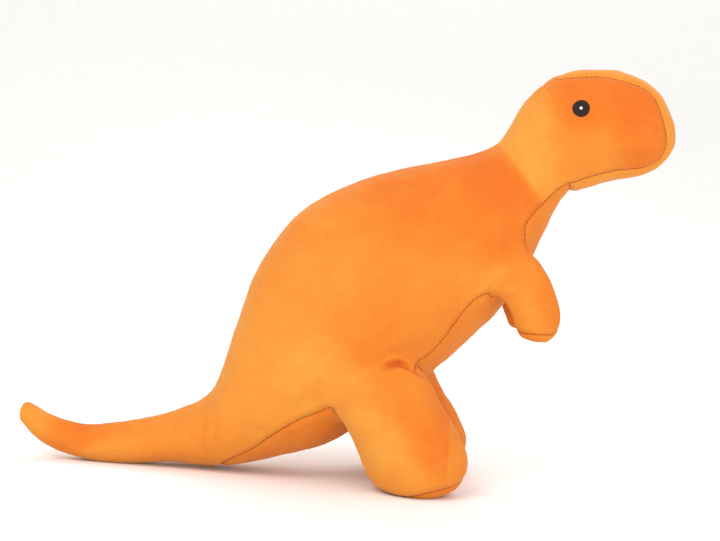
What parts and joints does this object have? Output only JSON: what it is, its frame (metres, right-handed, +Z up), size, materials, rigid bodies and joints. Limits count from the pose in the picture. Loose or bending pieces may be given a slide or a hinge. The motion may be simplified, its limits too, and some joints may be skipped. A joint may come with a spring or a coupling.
{
  "type": "stuffed dinosaur",
  "caption": "Plush stuffed dinosaur with a round head, small arms, two thick legs and a long tail, sewn from cloth panels and standing on its feet and tail.",
  "frame": {"origin": "on the floor under the middle of the toy's length, on its mid plane", "axes": "+X from the tail to the snout, +Y the toy's left, +Z up from the floor to its back"},
  "size_m": [0.3824, 0.1272, 0.254],
  "materials": {
    "plush": "short dense polyester velboa pile, bright orange, soft nap with a pale sheen at the edges",
    "fibre": "loose polyester fibre filling, off-white",
    "eye_thread": "satin-stitch embroidery in very dark brown thread",
    "glint_thread": "a few white embroidery stitches"
  },
  "bodies": {
    "torso": {"side_right_panel": "plush", "side_left_panel": "plush", "belly_gusset": "plush", "rump_gusset": "plush", "body_stuffing": "fibre"},
    "head": {"head_side_right": "plush", "head_side_left": "plush", "throat_gusset": "plush", "head_gusset": "plush", "head_stuffing": "fibre", "eye_right": "eye_thread", "eye_left": "eye_thread", "eye_glint_right": "glint_thread", "eye_glint_left": "glint_thread"},
    "tail": {"tail_side_right": "plush", "tail_side_left": "plush", "tail_stuffing": "fibre"},
    "arm_right": {"arm_right_outer_panel": "plush", "arm_right_inner_panel": "plush", "arm_right_stuffing": "fibre"},
    "leg_right": {"leg_right_outer_panel": "plush", "leg_right_inner_panel": "plush", "leg_right_stuffing": "fibre"},
    "arm_left": {"arm_left_outer_panel": "plush", "arm_left_inner_panel": "plush", "arm_left_stuffing": "fibre"},
    "leg_left": {"leg_left_outer_panel": "plush", "leg_left_inner_panel": "plush", "leg_left_stuffing": "fibre"}
  },
  "joints": [
    {"name": "head_nod", "type": "hinge", "parent": "torso", "child": "head", "pos_m": [0.10641, 0, 0.19139], "axis": [0, 1, 0], "range_deg": [-14, 12], "stiffness_Nm_per_rad": 0.8},
    {"name": "tail_sway", "type": "hinge", "parent": "torso", "child": "tail", "pos_m": [-0.08959, 0, 0.01891], "axis": [0, 0, 1], "range_deg": [-30, 30], "stiffness_Nm_per_rad": 0.15},
    {"name": "arm_right_swing", "type": "hinge", "parent": "torso", "child": "arm_right", "pos_m": [0.09275, -0.033, 0.13269], "axis": [0, 1, 0], "range_deg": [-35, 10], "stiffness_Nm_per_rad": 0.08},
    {"name": "leg_right_swing", "type": "hinge", "parent": "torso", "child": "leg_right", "pos_m": [0.02425, -0.039, 0.05741], "axis": [0, 1, 0], "range_deg": [-14, 10], "stiffness_Nm_per_rad": 2},
    {"name": "arm_left_swing", "type": "hinge", "parent": "torso", "child": "arm_left", "pos_m": [0.09275, 0.033, 0.13269], "axis": [0, 1, 0], "range_deg": [-35, 10], "stiffness_Nm_per_rad": 0.08},
    {"name": "leg_left_swing", "type": "hinge", "parent": "torso", "child": "leg_left", "pos_m": [0.02825, 0.039, 0.05741], "axis": [0, 1, 0], "range_deg": [-14, 10], "stiffness_Nm_per_rad": 2}
  ]
}
